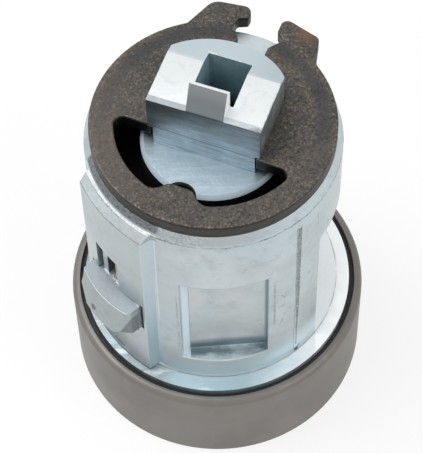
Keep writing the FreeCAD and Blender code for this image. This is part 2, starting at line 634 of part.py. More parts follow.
def write(name, shape):
    """One file for one piece."""
    if not shape.isValid():
        print("not valid:", name)
    shape.exportStep("parts/" + name + ".step")
    print("%-16s %9.2f mm3  %d solid  %d faces" % (name, shape.Volume, len(shape.Solids), len(shape.Faces)))


def main():
    os.makedirs("parts", exist_ok=True)
    write("housing", housing())
    write("trim_ring", trim_ring())
    write("liner_ring", liner_ring())
    write("latch", latch())
    write("latch_spring", latch_spring())
    write("plug", plug())
    write("retaining_plate", retaining_plate())
    write("face_cap", face_cap())
    write("shutter", shutter())
    write("shutter_pin", shutter_pin())
    write("shutter_spring", shutter_spring())
    for number in range(1, WAFER_COUNT + 1):
        write("wafer_%d" % number, wafer(number))
        write("wafer_spring_%d" % number, wafer_spring(number))


main()
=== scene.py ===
import math

import bmesh
import bpy
from bpy.props import FloatProperty, FloatVectorProperty, IntProperty, PointerProperty
from mathutils import Matrix, Vector


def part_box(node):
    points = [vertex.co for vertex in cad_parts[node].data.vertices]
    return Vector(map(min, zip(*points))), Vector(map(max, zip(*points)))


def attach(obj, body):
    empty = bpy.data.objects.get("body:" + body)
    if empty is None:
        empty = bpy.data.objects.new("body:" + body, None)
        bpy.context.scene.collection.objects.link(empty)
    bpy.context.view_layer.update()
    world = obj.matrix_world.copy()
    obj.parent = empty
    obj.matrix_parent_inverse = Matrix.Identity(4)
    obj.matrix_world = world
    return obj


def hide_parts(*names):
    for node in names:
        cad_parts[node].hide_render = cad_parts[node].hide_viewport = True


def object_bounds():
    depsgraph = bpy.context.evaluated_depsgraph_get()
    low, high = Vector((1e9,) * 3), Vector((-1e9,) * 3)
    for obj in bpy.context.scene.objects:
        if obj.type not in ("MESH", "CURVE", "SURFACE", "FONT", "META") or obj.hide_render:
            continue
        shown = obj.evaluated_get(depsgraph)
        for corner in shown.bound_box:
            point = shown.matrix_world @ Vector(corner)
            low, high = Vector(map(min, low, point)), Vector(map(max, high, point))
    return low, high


# The looks of an ignition lock cylinder that stands on its key face, in metres.
# +Z runs from the key face to the drive end, and the side with the shallow pocket faces -Y.

bl_info = {
    "name": "Ignition lock cylinder",
    "version": (1, 0, 0),
    "blender": (4, 5, 0),
    "location": "View3D > Sidebar > Lock",
    "description": "Dresses the parts of an ignition lock cylinder with worked edges and metal finishes",
    "category": "Object",
}

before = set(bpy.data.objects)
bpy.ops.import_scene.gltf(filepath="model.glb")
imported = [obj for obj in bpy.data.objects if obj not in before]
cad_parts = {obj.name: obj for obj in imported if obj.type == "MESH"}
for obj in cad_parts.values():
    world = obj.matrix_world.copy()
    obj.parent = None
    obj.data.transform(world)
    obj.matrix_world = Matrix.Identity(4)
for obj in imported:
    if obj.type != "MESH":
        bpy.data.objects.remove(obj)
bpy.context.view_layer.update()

MM = 0.001
WELD = 0.002 * MM
FLAT_ANGLE = math.radians(0.5)
SHARP_ANGLE = math.radians(26)
SMOOTH_ANGLE = math.radians(50)

# Heights taken from the frame, in millimetres as the finishes use them
BARREL_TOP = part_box("housing")[1].z / MM
PLATE_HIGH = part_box("retaining_plate")[1].z / MM
OVERALL_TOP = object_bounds()[1].z / MM

# Places on the barrel, in millimetres, and in degrees about its axis
BARREL_R = 16.05
CAVITY_R = 12.7
CREASE_R = 16.3                 # of the crease between the barrel and its flange
FOOT_Z = 15.2
RIDGE_Z = BARREL_TOP - 1.3      # lower edge of the end chamfer
RELIEF_X = BARREL_R - 3.15      # the flat on the barrel's side
COOL_LEFT_AZ = -122.0           # the low front of the barrel has a painted pale sheen
COOL_RIGHT_AZ = -40.0
PARTING_AZ = -50.8
BOSS_LEFT_AZ = -168.0
BOSS_RIGHT_AZ = -118.0
BOSS_CREASE = BARREL_TOP - 2.2
FLANK_LEFT_AZ = -122.4
FLANK_RIGHT_AZ = -118.4
# Painted shade in the notch and a painted highlight on the lip at the foot of the boss, with both ends of
# each stroke
FOOT_NOTCH = ((-13.9, -10.0, 16.2), (-12.4, -11.9, 16.3))
FOOT_LIP = ((-15.0, -8.5, 14.9), (-12.4, -11.8, 15.9))
# Painted shade at the end of the slot in the boss
SLOT_END = (-10.6, -13.8, 24.6)
POCKET_AZ = -87.0
POCKET_HALF = 5.75
POCKET_FLOOR = BARREL_R - 2.15  # from the axis
POCKET_LOW = 19.3
POCKET_HIGH = 38.4
BURR_AZ = -85.5
# Scratches between the pocket and the relief: azimuth and height of both ends, and the width
SCRATCHES = ((-61.7, 29.6, -57.5, 29.9, 0.20), (-61.3, 24.9, -58.6, 26.2, 0.20),
             (-60.2, 32.6, -57.6, 31.4, 0.18), (-45.0, 33.0, -42.6, 33.5, 0.22),
             (-63.6, 37.5, -63.4, 24.5, 0.22), (-39.0, 46.5, -38.4, 42.3, 0.16),
             (-109.2, 36.5, -108.8, 21.0, 0.14))

# Places on the latch and its room in the boss. Sides are measured across the latch, positive to its right
LATCH_AZ = -142.0
LATCH_LOW = 25.9
LATCH_HIGH = LATCH_LOW + 5.6
LATCH_EDGE = LATCH_HIGH - 0.62  # front edge of the sloping top
LATCH_LEFT = -4.15
LATCH_CORNER = -2.6             # the left end's corner lies beyond this
LATCH_STANDS_OUT = 17.5         # from the axis
LATCH_CORNER_BACK = 0.36
SHADED_END = 3.77                 # painted shade on the right end starts at this side at its foot
SHADED_END_LEAN = 0.3             # and leans to the right by this much per millimetre of height
FINGER_RIGHT = -1.2
NICK_AZ = LATCH_AZ - 1.6
NICK_R = 19.9
NICK_Z = 27.4
ROOM_LEFT_AZ = -161.0
ROOM_RIGHT_AZ = -124.5
ROOM_LOW = LATCH_HIGH - 6.3
ROOM_HIGH = LATCH_HIGH + 6.5

# Places on the plug and its head, in millimetres across it and from its front to its rear
PLUG_R = 9.1
DISC_TOP = BARREL_TOP - 1.2
DISC_CHAMFER = 0.5
NECK_TOP = PLATE_HIGH + 0.1
HEAD_TURN = -21.5               # degrees
HEAD_TOP = PLATE_HIGH + 5.7
HEAD_FRONT = -3.4
HEAD_HALF = 7.3
HEAD_SLOPE_START = 4.1
TOOTH_HEIGHT = 3.8
TOOTH_LEAN = 1.55
SOCKET_LEFT = -2.6
SOCKET_RIGHT = 3.0
SOCKET_FRONT = -0.95
SOCKET_REAR = 5.9
EJECTOR_PLACES = ((5.6, 0.9), (-5.5, 1.4))
EJECTOR_R = 1.5
# Painted shade lines along creases across the front of the head: height, width and strength
FRONT_CREASES = ((NECK_TOP, 0.20, 0.8), (NECK_TOP - 0.9, 0.14, 0.45), (DISC_TOP + 0.5, 0.14, 0.6))

# Places on the retaining plate, in millimetres
EDGE_R = 15.15                  # its rounded upper edge
OPENING_R = CAVITY_R - 0.5
RUST_PLACE = (12.0, 12.9, PLATE_HIGH)
RUST_REACH = 2.8

# Grain of the finishes: height in millimetres and grains per millimetre
CAST_GRAIN = 0.022
SMALL_GRAIN = 0.006
SMALL_GRAIN_PER_MM = 3.0

# Lights: place and side in metres, and strength
LIGHTS = (("key_light", (-0.25, 0.05, 0.55), 0.35, 1.3), ("fill_light", (0.35, -0.25, 0.40), 0.30, 0.6))
SKY_LIGHT = 0.55
FLOOR_GLOW = 0.8

# Camera of the photograph
CAMERA_PLACE = Vector((-0.635, -144.534, 266.857)) * MM
CAMERA_ELEVATION = math.radians(58.94)
CAMERA_ROLL = math.radians(-1.703)
CAMERA_LENS = 168.53
SENSOR = 36.0


class Socket:
    """A shader socket for arithmetic: each operation on it adds a Math node."""

    def __init__(self, finish, link):
        self.finish = finish
        self.link = link

    def math(self, operation, *others):
        inputs = dict(enumerate((self,) + others))
        return self.finish.node("ShaderNodeMath", {"operation": operation}, inputs)

    def __add__(self, other):
        return self.math("ADD", other)

    def __sub__(self, other):
        return self.math("SUBTRACT", other)

    def __rsub__(self, other):
        return self.finish.node("ShaderNodeMath", {"operation": "SUBTRACT"}, {0: other, 1: self})

    def __mul__(self, other):
        return self.math("MULTIPLY", other)

    def __abs__(self):
        return self.math("ABSOLUTE")

    def most(self, other):
        return self.math("MAXIMUM", other)

    __radd__ = __add__
    __rmul__ = __mul__


class Finish:
    """A material under construction, with places in millimetres of the part's own frame."""

    def __init__(self, name, colour=(0.8, 0.8, 0.8), metal=0.0, rough=0.5):
        self.material = bpy.data.materials.new(name)
        self.material.use_nodes = True
        self.tree = self.material.node_tree
        self.shader = self.tree.nodes["Principled BSDF"]
        coordinates = self.node("ShaderNodeTexCoord", {}, {}, "Object")
        self.place = self.node("ShaderNodeVectorMath", {"operation": "SCALE"},
                               {"Vector": coordinates, "Scale": 1 / MM})
        split = [self.node("ShaderNodeSeparateXYZ", {}, {0: self.place}, axis) for axis in "XYZ"]
        self.x, self.y, self.z = split
        self.colour = rgb(colour)
        self.metal = metal
        self.rough = rough
        self.relief = 0.0

    def node(self, kind, settings, inputs, output=0):
        """One node: its settings first, then the values or links of its sockets."""
        made = self.tree.nodes.new(kind)
        for key, value in settings.items():
            setattr(made, key, value)
        for key, value in inputs.items():
            if isinstance(value, Socket):
                self.tree.links.new(value.link, made.inputs[key])
            else:
                made.inputs[key].default_value = value
        return Socket(self, made.outputs[output])

    def set(self, **values):
        """Values or links of the shader, with spaces written as underscores."""
        for key, value in values.items():
            socket = self.shader.inputs[key.replace("_", " ")]
            if isinstance(value, Socket):
                self.tree.links.new(value.link, socket)
            else:
                socket.default_value = value

    def noise(self, per_mm, detail=3.0, rough=0.55, stretch=None):
        """Noise with a number of grains per millimetre, from 0 to 1."""
        where = self.place
        if stretch:
            where = self.node("ShaderNodeMapping", {}, {"Vector": where, "Scale": stretch})
        inputs = {"Vector": where, "Scale": per_mm, "Detail": detail, "Roughness": rough}
        return self.node("ShaderNodeTexNoise", {}, inputs, "Fac")

    def patches(self, per_mm, low, high, detail=3.0, rough=0.55, stretch=None):
        """1 in patches, where a noise is above high, and 0 where it is below low."""
        return self.between(self.noise(per_mm, detail, rough, stretch), low, high)

    def between(self, value, low, high):
        """0 below low, 1 above high, smooth between them. With low above high, the other way round."""
        inputs = {"Value": value, "From Min": low, "From Max": high, "To Min": 0.0, "To Max": 1.0}
        return self.node("ShaderNodeMapRange", {"interpolation_type": "SMOOTHSTEP"}, inputs)

    def within(self, value, low, high, soft=0.05):
        """1 from low to high, 0 outside."""
        return self.between(value, low - soft, low) * self.between(value, high + soft, high)

    def band(self, value, middle, width):
        """1 on a line of a width, 0 beside it."""
        return self.between(abs(value - middle), width / 2, width / 8)

    def mix(self, mask, first, second):
        """The first colour where the mask is 0, the second where it is 1."""
        return self.node("ShaderNodeMix", {"data_type": "RGBA"}, {0: mask, 6: first, 7: second}, 2)

    def paint(self, mask, colour=None, metal=None, rough=None):
        """Another look where the mask is 1."""
        if colour:
            self.colour = self.mix(mask, self.colour, rgb(colour))
        if metal is not None:
            self.metal = mask * (metal - self.metal) + self.metal
        if rough is not None:
            self.rough = mask * (rough - self.rough) + self.rough

    def lift(self, height):
        """Adds a height in millimetres to the relief."""
        self.relief = height + self.relief

    def done(self):
        """Sets the shader from the looks and the relief."""
        normal = self.node("ShaderNodeBump", {}, {"Height": self.relief, "Distance": MM, "Strength": 1.0})
        self.set(Base_Color=self.colour, Metallic=self.metal, Roughness=self.rough, Normal=normal)
        return self.material

    def radius(self):
        """Distance from the lock's axis."""
        return (self.x * self.x + self.y * self.y).math("SQRT")

    def azimuth(self):
        """Angle about the lock's axis in degrees, 0 at +X."""
        return self.y.math("ARCTAN2", self.x) * math.degrees(1)

    def along(self, angle):
        """Distance from the axis towards an angle in degrees."""
        turn = math.radians(angle)
        return self.x * math.cos(turn) + self.y * math.sin(turn)

    def away(self, centre):
        """Distance from a point of the part."""
        ends = {0: self.place, 1: centre}
        return self.node("ShaderNodeVectorMath", {"operation": "DISTANCE"}, ends, "Value")

    def spot(self, centre, reach):
        """1 at a point of the part, 0 at its reach."""
        return self.between(self.away(centre), reach, 0.0)

    def stroke(self, start, end, width):
        """1 on a straight stroke between two points of the part, 0 beside it."""
        middle = [(a + b) / 2 for a, b in zip(start, end)]
        half = math.dist(start, end) / 2
        ahead = [(b - a) / (2 * half) for a, b in zip(start, end)]
        off = self.node("ShaderNodeVectorMath", {"operation": "SUBTRACT"}, {0: self.place, 1: middle})
        run = self.node("ShaderNodeVectorMath", {"operation": "DOT_PRODUCT"}, {0: off, 1: ahead}, "Value")
        far = self.node("ShaderNodeVectorMath", {"operation": "LENGTH"}, {0: off}, "Value")
        beside = (far * far - run * run).most(0.0).math("SQRT")
        return self.between(beside, width, width / 4) * self.between(abs(run), half, half * 0.7)


def rgb(colour):
    """A colour with its alpha."""
    return (colour[0], colour[1], colour[2], 1.0)


def scaled(colour, factor):
    """A colour made lighter or darker."""
    return (colour[0] * factor, colour[1] * factor, colour[2] * factor)


def on_barrel(azimuth, z):
    """A point on the barrel's surface."""
    angle = math.radians(azimuth)
    return (BARREL_R * math.cos(angle), BARREL_R * math.sin(angle), z)


def colour_property(name, description, default):
    """A colour of the panel."""
    return FloatVectorProperty(name=name, description=description, subtype="COLOR", default=default,
                               min=0.0, max=1.0)


def length_property(name, description, millimetres):
    """A length of the panel."""
    return FloatProperty(name=name, description=description, default=millimetres * MM, min=0.0,
                         unit="LENGTH", precision=5)


def steps_property(name, description, default):
    """A number of steps of the panel."""
    return IntProperty(name=name, description=description, default=default, min=1, max=6)


class LockSizes(bpy.types.PropertyGroup):
    """Sizes of what the looks add to the parts."""

    cast_round: length_property("Cast edge", "Round on the edges of the die castings", 0.13)
    head_round: length_property("Head edge", "Round on the edges of the plug and its drive head", 0.09)
    plate_round: length_property("Stamped edge", "Round on the edges of the stamped plate", 0.2)
    fine_round: length_property("Fine edge", "Round on the edges of the small steel parts", 0.05)
    floor_half: length_property("Floor", "Half the side of the floor", 3000.0)
    round_steps: steps_property("Steps", "Steps across a rounded edge", 3)
    fine_steps: steps_property("Fine steps", "Steps across an edge of the plug and small parts", 2)


class LockColours(bpy.types.PropertyGroup):
    """Colours of the finishes."""

    zinc: colour_property("Zinc", "Passivated zinc casting", (0.50, 0.56, 0.575))
    # Painted light: lit faces and painted highlights on edges and burrs
    zinc_pale_and_lit: colour_property("Pale zinc", "Bright faces of the zinc", (0.80, 0.825, 0.83))
    zinc_sheen: colour_property("Sheen", "Pale blue sheen of the passivated zinc", (0.62, 0.73, 0.78))
    zinc_cool: colour_property("Cool zinc", "Blue-green tint of the passivated zinc", (0.37, 0.52, 0.59))
    zinc_blue: colour_property("Blue zinc", "Brushed blue-grey faces of the head", (0.31, 0.38, 0.43))
    # Also painted shade on faces and ends turned from the light
    zinc_grey_and_shade: colour_property("Grey zinc", "Duller faces of the zinc", (0.36, 0.39, 0.40))
    zinc_rose: colour_property("Rose zinc", "Warm sheen on the floor of the pocket", (0.62, 0.57, 0.57))
    # Also painted shade lines in notches, at the end of a slot and along creases and edges
    zinc_soot_and_shade: colour_property("Zinc smudge", "Smudges and cold marks on the zinc", (0.12, 0.125, 0.125))
    nick: colour_property("Nick", "Brown nick in the latch", (0.10, 0.08, 0.07))
    # Painted shade: near black where the lock's hollows lie in shade
    pit_shade: colour_property("Pit", "What lies deep in the lock", (0.004, 0.004, 0.004))
    socket: colour_property("Socket", "Walls of the drive socket", (0.28, 0.43, 0.47))
    plate: colour_property("Plate", "Phosphated steel", (0.046, 0.047, 0.050))
    plate_warm: colour_property("Plate mottle", "Warm mottle of the phosphated steel", (0.084, 0.073, 0.061))
    plate_worn: colour_property("Plate specks", "Pale specks of the phosphated steel", (0.25, 0.21, 0.165))
    rust: colour_property("Rust", "Rust-brown stain on a horn of the plate", (0.15, 0.085, 0.045))
    trim: colour_property("Trim", "Satin lacquer of the trim ring", (0.196, 0.183, 0.167))
    liner: colour_property("Liner", "Black moulded sleeve", (0.004, 0.004, 0.005))
    strip: colour_property("Spring strip", "Tempered spring strip", (0.50, 0.39, 0.30))
    steel: colour_property("Steel", "Bright steel of pins and springs", (0.55, 0.56, 0.57))
    brass: colour_property("Brass", "Stamped brass of the tumblers", (0.70, 0.50, 0.22))
    floor: colour_property("Floor", "Pale floor", (0.93, 0.93, 0.93))


def chosen_values(context):
    """The sizes and the colours of the panel."""
    return context.scene.lock_sizes, context.scene.lock_colours


def worked_copy(node, width, steps, change=None):
    """A copy of a part with whole flat faces and rounded sharp edges, after a change of its mesh."""
    work = bmesh.new()
    work.from_mesh(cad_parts[node].data)
    bmesh.ops.remove_doubles(work, verts=work.verts, dist=WELD)
    if change:
        change(work)
    bmesh.ops.dissolve_limit(work, angle_limit=FLAT_ANGLE, verts=work.verts, edges=work.edges)
    work.normal_update()
    sharp = [e for e in work.edges if e.calc_face_angle(0.0) > SHARP_ANGLE]
    bmesh.ops.bevel(work, geom=sharp, offset=width, offset_type="OFFSET", segments=steps, profile=0.5,
                    affect="EDGES", clamp_overlap=True, material=-1)
    return work


def square_left_end(work):
    """Moves the outer corner of the latch's left end out to the line of its side."""
    turn = math.radians(LATCH_AZ)
    ahead = Vector((math.cos(turn), math.sin(turn), 0.0))
    across = Vector((-math.sin(turn), math.cos(turn), 0.0))
    for vertex in work.verts:
        side = vertex.co.dot(across) / MM
        stands_out = vertex.co.dot(ahead) / MM > LATCH_STANDS_OUT
        if stands_out and LATCH_LEFT + 0.1 < side < LATCH_CORNER:
            vertex.co += across * (LATCH_LEFT - side) * MM - ahead * LATCH_CORNER_BACK * MM


def added(name, data):
    """A new object in the scene."""
    made = bpy.data.objects.new(name, data)
    bpy.context.scene.collection.objects.link(made)
    return made


def finished(name, work, body, slot, material, *nodes):
    """An object from a worked mesh, shaded smooth, riding on its body in place of its parts."""
    mesh = bpy.data.meshes.new(name)
    work.to_mesh(mesh)
    work.free()
    mesh.shade_smooth()
    mesh.set_sharp_from_angle(angle=SMOOTH_ANGLE)
    mesh.materials.append(material)
    piece = added(name, mesh)
    weighted = piece.modifiers.new("even_shading", "WEIGHTED_NORMAL")
    weighted.keep_sharp = True
    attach(piece, body)
    if nodes:
        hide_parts(*nodes)
    return piece


def zinc_finish(name, colours):
    """Passivated zinc: cloudy, a little blue in places, with smudges and a fine cast grain."""
    finish = Finish(name, colours.zinc, metal=0.85, rough=0.36)
    clouds = finish.patches(0.11, 0.40, 0.62, detail=4.0)
    tint = finish.patches(0.07, 0.45, 0.70)
    smudges = finish.patches(0.55, 0.50, 0.72, detail=5.0, rough=0.65)
    specks = finish.patches(3.2, 0.60, 0.72, rough=0.7)
    finish.paint(clouds * 0.7, scaled(colours.zinc, 1.2))
    finish.paint(tint * 0.25, colours.zinc_cool)
    finish.paint(smudges * 0.45, colours.zinc_grey_and_shade)
    finish.paint(specks * 0.45, colours.zinc_grey_and_shade, rough=0.45)
    finish.lift(finish.noise(2.4, rough=0.6) * CAST_GRAIN)
    return finish


def barrel_finish(colours):
    """Zinc of the barrel, with its die marks, a painted sheen on its low front, painted light and shade on
    its edges, painted shade in its hollows and small scratches.
    """
    finish = zinc_finish("cast_zinc_barrel", colours)
    radius, azimuth, z = finish.radius(), finish.azimuth(), finish.z
    low = finish.between(z, FOOT_Z + 7.8, FOOT_Z + 1.3)
    low_front = low * finish.within(azimuth, COOL_LEFT_AZ, COOL_RIGHT_AZ, 25.0)
    # Painted sheen: the low front is painted paler and less metallic
    finish.paint(low_front * 0.7, scaled(colours.zinc_sheen, 1.05), metal=0.6)
    stains = finish.patches(0.8, 0.55, 0.68, detail=5.0, rough=0.7, stretch=(1.0, 1.0, 1.8))
    stains = stains * finish.within(z, BARREL_TOP - 10.7, BARREL_TOP - 3.2, 1.5)
    finish.paint(stains * 0.3, colours.zinc_grey_and_shade)
    boss_face = finish.within(azimuth, BOSS_LEFT_AZ, BOSS_RIGHT_AZ - 5.0, 2.0)
    finish.paint(boss_face * 0.35, scaled(colours.zinc_grey_and_shade, 1.1))
    boss_side(finish, colours, azimuth, z)
    pocket_floor(finish, colours, radius, z)
    pocket_edges(finish, colours, radius, z)
    flange_marks(finish, colours, radius, z)
    chamfer_marks(finish, colours, radius, azimuth, z)
    boss_ridge(finish, colours, azimuth, z)
    parting_marks(finish, colours, azimuth, z)
    scratches(finish, colours)
    hollow_shade(finish, colours, radius, azimuth, z)
    return finish.done()


def boss_side(finish, colours, azimuth, z):
    """Flank of the boss with a painted pale cool sheen, cooler towards its foot, a painted highlight beside
    it, painted shade in the notch at its foot and at the end of its slot, and a painted highlight on the lip
    at its foot.
    """
    upright = finish.between(z, FOOT_Z, FOOT_Z + 0.5) * finish.between(z, BOSS_CREASE + 0.6, BOSS_CREASE)
    flank = finish.within(azimuth, FLANK_LEFT_AZ, FLANK_RIGHT_AZ, 0.4) * upright
    # Painted sheen on the flank of the boss
    finish.paint(flank * 0.6, colours.zinc_sheen, rough=0.5)
    finish.paint(flank * finish.between(z, FOOT_Z + 17.8, FOOT_Z + 4.8) * 0.45, colours.zinc_cool)
    beside = finish.band(azimuth, FLANK_RIGHT_AZ + 0.2, 0.8)
    beside = beside * finish.within(z, FOOT_Z + 14.8, BARREL_TOP - 2.7, 3.0)
    # Painted highlight beside the flank
    finish.paint(beside * 0.6, colours.zinc_pale_and_lit)
    notch = finish.between(finish.stroke(*FOOT_NOTCH, 0.4), 0.2, 0.6)
    slot_end = finish.between(finish.spot(SLOT_END, 0.5), 0.2, 0.6)
    # Painted shade in the notch and at the end of the slot, and a painted highlight on the lip
    finish.paint(notch * 0.9, colours.zinc_soot_and_shade, metal=0.2)
    finish.paint(finish.stroke(*FOOT_LIP, 0.3) * 0.8, colours.zinc_pale_and_lit)
    finish.paint(slot_end * 0.8, colours.zinc_soot_and_shade)


def pocket_floor(finish, colours, radius, z):
    """Warm sheen and dark water marks on the floor and the lower ledge of the pocket, a painted highlight on
    the ledge's rim, and its side walls.
    """
    depth, side = finish.along(POCKET_AZ), finish.along(POCKET_AZ + 90)
    inset = finish.between(radius, BARREL_R - 0.1, BARREL_R - 0.4)
    inset = inset * finish.within(side, -POCKET_HALF - 0.25, POCKET_HALF + 0.25, 0.1)
    inset = inset * finish.between(depth, POCKET_FLOOR - 1.0, POCKET_FLOOR - 0.4)
    inset = inset * finish.within(z, POCKET_LOW - 0.1, POCKET_HIGH + 0.1, 0.1)
    sheen = finish.patches(0.22, 0.42, 0.60) * finish.within(z, POCKET_LOW + 2.7, POCKET_HIGH - 1.4, 2.0)
    finish.paint(inset * sheen * 0.35, colours.zinc_rose)
    streaks = finish.noise(0.5, detail=5.0, rough=0.65, stretch=(0.4, 1.0, 2.6))
    dark_water = scaled(colours.zinc_cool, 0.4)
    wander = (streaks - 0.5) * 2.4
    water = finish.between(z + wander, POCKET_LOW + 2.9, POCKET_LOW + 1.1)
    water = water * finish.between(z, POCKET_LOW + 0.2, POCKET_LOW + 0.35)
    finish.paint(inset * water * (streaks * 0.5 + 0.6), dark_water, rough=0.5)
    ledge = inset * finish.between(z, POCKET_LOW + 0.12, POCKET_LOW + 0.04)
    towards_floor = finish.between(depth, BARREL_R - 0.15, POCKET_FLOOR + 0.4)
    wet = finish.between(streaks + towards_floor * 0.15, 0.42, 0.70)
    finish.paint(ledge * 0.6, colours.zinc_sheen, rough=0.5)
    finish.paint(ledge * wet * 0.85, dark_water, rough=0.5)
    rim = inset * finish.within(z, POCKET_LOW + 0.08, POCKET_LOW + 0.26, 0.06)
    left_wall = inset * finish.within(side, -POCKET_HALF - 0.15, -POCKET_HALF + 1.15, 0.1)
    right_wall = inset * finish.within(side, POCKET_HALF - 0.5, POCKET_HALF + 0.15, 0.1)
    # Painted highlight on the rim of the lower ledge
    finish.paint(rim * 0.8, colours.zinc_pale_and_lit)
    finish.paint(left_wall * 0.85, scaled(colours.zinc_sheen, 1.2), metal=0.2, rough=0.5)
    finish.paint(right_wall * 0.8, scaled(colours.zinc_cool, 0.7))


def pocket_edges(finish, colours, radius, z):
    """Painted highlight along the burred lip under the pocket, and a thin painted shade line along its upper
    edge.
    """
    depth, side = finish.along(POCKET_AZ), finish.along(POCKET_AZ + 90)
    edge = finish.band(radius, BARREL_R - 0.06, 0.5)
    edge = edge * finish.within(side, -POCKET_HALF + 0.05, POCKET_HALF - 0.05, 0.2)
    edge = edge * finish.between(depth, POCKET_FLOOR - 1.9, POCKET_FLOOR - 0.9)
    burr = finish.spot(on_barrel(BURR_AZ, POCKET_LOW), 1.3)
    # Painted highlight along the lip, stronger at the burr
    bright = edge * finish.band(z, POCKET_LOW, 0.3) * (burr * 0.5 + 0.65)
    finish.paint(bright, colours.zinc_pale_and_lit, metal=0.4)
    # Painted shade line along the upper edge of the pocket
    finish.paint(edge * finish.band(z, POCKET_HIGH, 0.2) * 0.6, scaled(colours.zinc_soot_and_shade, 1.6))


def flange_marks(finish, colours, radius, z):
    """Streaks on the flange, painted shade on its front and left and painted light on its right side, painted
    light on the flat of the relief, and a painted shade line along the crease at the foot of the barrel.
    """
    flange = finish.between(radius, BARREL_R + 0.1, BARREL_R + 0.25) * finish.between(z, FOOT_Z + 0.2, FOOT_Z)
    front = finish.between(finish.y, -4.0, -10.0) * finish.between(finish.x, 10.0, 2.0)
    left = finish.between(finish.x, -4.0, -9.0)
    right = finish.between(finish.x, 8.0, 13.0)
    streaks = finish.noise(0.4, detail=5.0, rough=0.6, stretch=(0.35, 1.6, 1.0))
    dark_streaks, pale_streaks = finish.between(streaks, 0.44, 0.64), finish.between(streaks, 0.46, 0.34)
    # Painted shade on the front and left of the flange
    finish.paint(flange * front * 0.85, scaled(colours.zinc_cool, 0.72), rough=0.5)
    finish.paint(flange * left * 0.85, scaled(colours.zinc_grey_and_shade, 0.6), rough=0.5)
    finish.paint(flange * dark_streaks * 0.4, scaled(colours.zinc_cool, 0.9))
    finish.paint(flange * front * pale_streaks * 0.45, colours.zinc_sheen)
    # Painted light on the right of the flange and on the flat of the relief
    finish.paint(flange * right * 0.7, colours.zinc_pale_and_lit)
    relief_flat = finish.between(finish.x, RELIEF_X - 0.1, RELIEF_X + 0.1)
    relief_flat = relief_flat * finish.between(z, FOOT_Z + 0.25, FOOT_Z + 0.1)
    finish.paint(relief_flat * 0.8, scaled(colours.zinc_pale_and_lit, 1.15), rough=0.55)
    # Painted shade line along the crease at the foot
    crease = finish.band(radius, CREASE_R, 0.24) * finish.within(z, FOOT_Z - 0.2, FOOT_Z + 0.2)
    finish.paint(crease * finish.patches(0.4, 0.30, 0.55) * 0.6, scaled(colours.zinc_soot_and_shade, 1.8))


def chamfer_marks(finish, colours, radius, azimuth, z):
    """End chamfer painted darker grey at the front, with a rough broken line under it."""
    off_barrel = abs(radius - BARREL_R)
    chamfer = finish.between(z, RIDGE_Z + 0.1, RIDGE_Z + 0.3) * finish.between(off_barrel, 0.9, 0.6)
    finish.paint(chamfer * finish.between(azimuth, -45.0, -75.0) * 0.45, colours.zinc_grey_and_shade)
    wander = (finish.noise(0.7, detail=5.0, rough=0.7) - 0.5) * 0.9
    line = finish.band(z + wander, RIDGE_Z - 0.1, 0.42) * finish.between(off_barrel, 0.4, 0.15)
    line = line * finish.patches(0.3, 0.36, 0.56, detail=4.0, rough=0.65)
    grain = finish.patches(3.0, 0.34, 0.58, rough=0.7)
    finish.paint(line * (grain * 0.6 + 0.25), colours.zinc_soot_and_shade, metal=0.6)
    finish.lift(line * -0.015)


def boss_ridge(finish, colours, azimuth, z):
    """Speckled bevel of the boss between its crease and its ridge, greyer towards the right, with a painted
    highlight on the ridge, painted shade behind it and a painted shade line along the crease.
    """
    boss = finish.within(azimuth, BOSS_LEFT_AZ, BOSS_RIGHT_AZ, 2.0)
    bevel = boss * finish.within(z, BOSS_CREASE, RIDGE_Z + 0.3, 0.1)
    beside = finish.within(azimuth, BOSS_RIGHT_AZ - 1.0, BOSS_RIGHT_AZ + 20.0, 8.0)
    beside = beside * finish.between(z, RIDGE_Z - 0.2, RIDGE_Z + 0.2)
    behind = boss * finish.between(z, RIDGE_Z + 0.3, RIDGE_Z + 0.5)
    wander = (finish.noise(0.7, detail=5.0, rough=0.7) - 0.5) * 0.2
    dots = finish.patches(2.6, 0.44, 0.60, detail=4.0, rough=0.75)
    towards_right = finish.between(azimuth, BOSS_LEFT_AZ + 18.0, BOSS_RIGHT_AZ - 6.0)
    finish.paint(beside * dots * 0.55, scaled(colours.zinc_grey_and_shade, 0.8), rough=0.5)
    finish.paint(bevel * (dots * 0.4 + towards_right * 0.4), colours.zinc_grey_and_shade, rough=0.5)
    # Painted shade on the end chamfer behind the ridge
    finish.paint(behind * (dots * 0.25 + 0.65), scaled(colours.zinc_grey_and_shade, 0.28))
    # Painted highlight on the ridge
    finish.paint(boss * finish.band(z, RIDGE_Z + 0.1, 0.3) * (0.9 - dots * 0.4), colours.zinc_pale_and_lit)
    # Painted shade line along the crease
    finish.paint(boss * finish.band(z + wander, BOSS_CREASE, 0.2) * 0.75, scaled(colours.zinc_soot_and_shade, 1.8))
    finish.lift((beside + bevel) * dots * 0.012)


